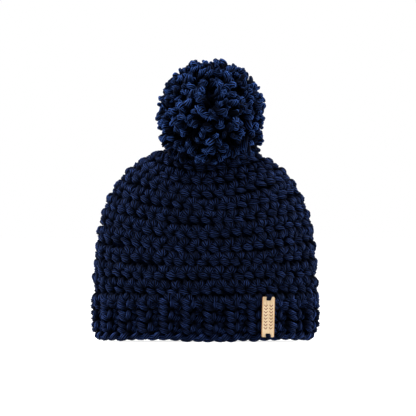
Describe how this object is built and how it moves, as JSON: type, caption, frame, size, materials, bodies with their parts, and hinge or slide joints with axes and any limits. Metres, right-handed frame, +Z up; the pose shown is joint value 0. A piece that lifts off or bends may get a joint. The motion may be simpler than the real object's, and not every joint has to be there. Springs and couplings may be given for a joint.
{
  "type": "pom pom beanie",
  "caption": "Bulky crocheted beanie with a ribbed brim, a large yarn pompom on a short neck of tails, and a small stitched-on wooden label.",
  "frame": {"origin": "middle of the brim's lower edge, where the hat stands, in the plane of the head opening", "axes": "+Z up to the pompom, -Y the front with the label, +X to the right as the front is looked at"},
  "size_m": [0.25, 0.1326, 0.3103],
  "materials": {
    "yarn_body": "soft plied yarn, navy",
    "yarn_brim": "soft plied yarn, navy",
    "pompom_yarn": "cut yarn ends, navy",
    "label_yarn": "thin plied yarn, navy",
    "birch_wood": "sanded, laser cut"
  },
  "bodies": {
    "hat": {"crown_shell": "yarn_body", "crown_closing_yarn": "yarn_body", "brim_band": "yarn_brim", "foundation_chain": "yarn_brim", "label_plate": "birch_wood", "label_stitch_top": "label_yarn", "label_stitch_bottom": "label_yarn", "pompom_anchor_knot": "pompom_yarn"},
    "pompom_neck": {"pompom_tails": "pompom_yarn"},
    "pompom": {"pompom_tuft": "pompom_yarn", "pompom_waist_tie": "pompom_yarn"}
  },
  "joints": [
    {"name": "pompom_lean_sideways", "type": "hinge", "parent": "hat", "child": "pompom_neck", "pos_m": [0.006, 0, 0.2226], "axis": [0, 1, 0], "range_deg": [-10, 10]},
    {"name": "pompom_nod", "type": "hinge", "parent": "pompom_neck", "child": "pompom", "pos_m": [0.006, -0.01314, 0.25079], "axis": [1, 0, 0], "range_deg": [-20, 4]}
  ]
}
